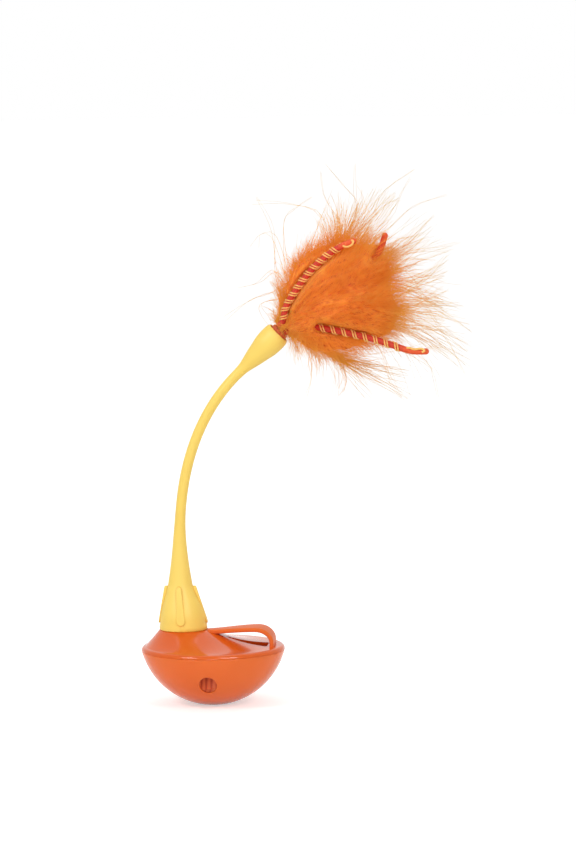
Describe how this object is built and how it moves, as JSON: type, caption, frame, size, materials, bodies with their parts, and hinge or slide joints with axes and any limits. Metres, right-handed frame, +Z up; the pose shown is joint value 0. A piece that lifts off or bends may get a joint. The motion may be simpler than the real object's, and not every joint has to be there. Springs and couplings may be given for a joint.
{
  "type": "interactive feather cat toy",
  "caption": "Self-righting round cat toy: weighted treat bowl with a strap handle, a curved flexible wand that screws on, and a tassel of fluffy plumes and thread-wound cords.",
  "frame": {"origin": "middle of the flat foot under the bowl, on the floor", "axes": "+Z up, +X from the bowl's middle along the strap handle, so the wand bends towards +X and the treat holes open along Y"},
  "size_m": [0.208, 0.0988, 0.3407],
  "materials": {
    "orange_gloss": "gloss",
    "orange_inner": "satin",
    "ballast_iron": "matte",
    "screw_steel": "satin",
    "seal_rubber": "matte",
    "insert_plastic": "satin",
    "soft_yellow": "satin",
    "binding": "matte",
    "red_cord": "matte",
    "cream_thread": "satin",
    "orange_feather": "matte"
  },
  "bodies": {
    "base": {"bowl_shell": "orange_gloss", "top_cover": "orange_gloss", "ballast_plate": "orange_inner", "ballast_weight": "ballast_iron", "ballast_screw_1": "screw_steel", "ballast_screw_2": "screw_steel", "ballast_screw_3": "screw_steel"},
    "seal": {"neck_seal": "seal_rubber"},
    "collar": {"wand_collar": "soft_yellow", "collar_insert": "insert_plastic"},
    "stem_middle": {"stem_middle": "soft_yellow"},
    "stem_upper": {"stem_upper": "soft_yellow"},
    "cup": {"tip_cup": "soft_yellow"},
    "tassel": {"tassel_binding": "binding", "plume_crown": "orange_feather", "plume_upper": "orange_feather", "plume_right": "orange_feather", "plume_under": "orange_feather", "plume_back": "orange_feather", "plume_left": "orange_feather", "plume_front": "orange_feather"},
    "cord_upper": {"cord_upper_core": "red_cord", "cord_upper_thread_a": "cream_thread", "cord_upper_thread_b": "cream_thread"},
    "cord_lower": {"cord_lower_core": "red_cord", "cord_lower_thread_a": "cream_thread", "cord_lower_thread_b": "cream_thread"},
    "cord_back": {"cord_back_core": "red_cord", "cord_back_thread_a": "cream_thread", "cord_back_thread_b": "cream_thread"}
  },
  "joints": [
    {"name": "collar_lift", "type": "slide", "parent": "base", "child": "seal", "axis": [0, 0, 1], "range_m": [0, 0.0046]},
    {"name": "collar_twist", "type": "hinge", "parent": "seal", "child": "collar", "pos_m": [-0.0196, 0, 0.055], "axis": [0, 0, 1], "range_deg": [0, 540]},
    {"name": "stem_bend", "type": "hinge", "parent": "collar", "child": "stem_middle", "pos_m": [-0.0211, 0, 0.11372], "axis": [0, 1, 0], "range_deg": [-25, 35], "stiffness_Nm_per_rad": 0.15, "springref_deg": -5.13},
    {"name": "stem_sway", "type": "hinge", "parent": "stem_middle", "child": "stem_upper", "pos_m": [-0.01409, 0, 0.16259], "axis": [0.9612, 0, -0.2759], "range_deg": [-30, 30], "stiffness_Nm_per_rad": 0.12, "springref_deg": 0.2},
    {"name": "tip_bend", "type": "hinge", "parent": "stem_upper", "child": "cup", "pos_m": [0.00768, 0, 0.20672], "axis": [0, 1, 0], "range_deg": [-30, 30], "stiffness_Nm_per_rad": 0.1, "springref_deg": -4.93},
    {"name": "tassel_swing", "type": "hinge", "parent": "cup", "child": "tassel", "pos_m": [0.04433, 0, 0.2444], "axis": [-0.7022, 0, 0.712], "range_deg": [-12, 12], "stiffness_Nm_per_rad": 0.03, "springref_deg": -0.59},
    {"name": "cord_upper_flex", "type": "hinge", "parent": "tassel", "child": "cord_upper", "pos_m": [0.04681, -0.00185, 0.25135], "axis": [0.351, -0.866, -0.356], "range_deg": [0, 18], "stiffness_Nm_per_rad": 0.002, "springref_deg": 1.21},
    {"name": "cord_lower_flex", "type": "hinge", "parent": "tassel", "child": "cord_lower", "pos_m": [0.05131, -0.00185, 0.24678], "axis": [0.351, 0.866, -0.356], "range_deg": [0, 18], "stiffness_Nm_per_rad": 0.002, "springref_deg": -3.64},
    {"name": "cord_back_flex", "type": "hinge", "parent": "tassel", "child": "cord_back", "pos_m": [0.04906, 0.0037, 0.24907], "axis": [-0.7021, 0, 0.7121], "range_deg": [0, 14], "stiffness_Nm_per_rad": 0.002, "springref_deg": -0.34}
  ],
  "couplings": [
    {"joint": "collar_lift", "follows": "collar_twist", "m_per_rad": 0.00047746}
  ]
}
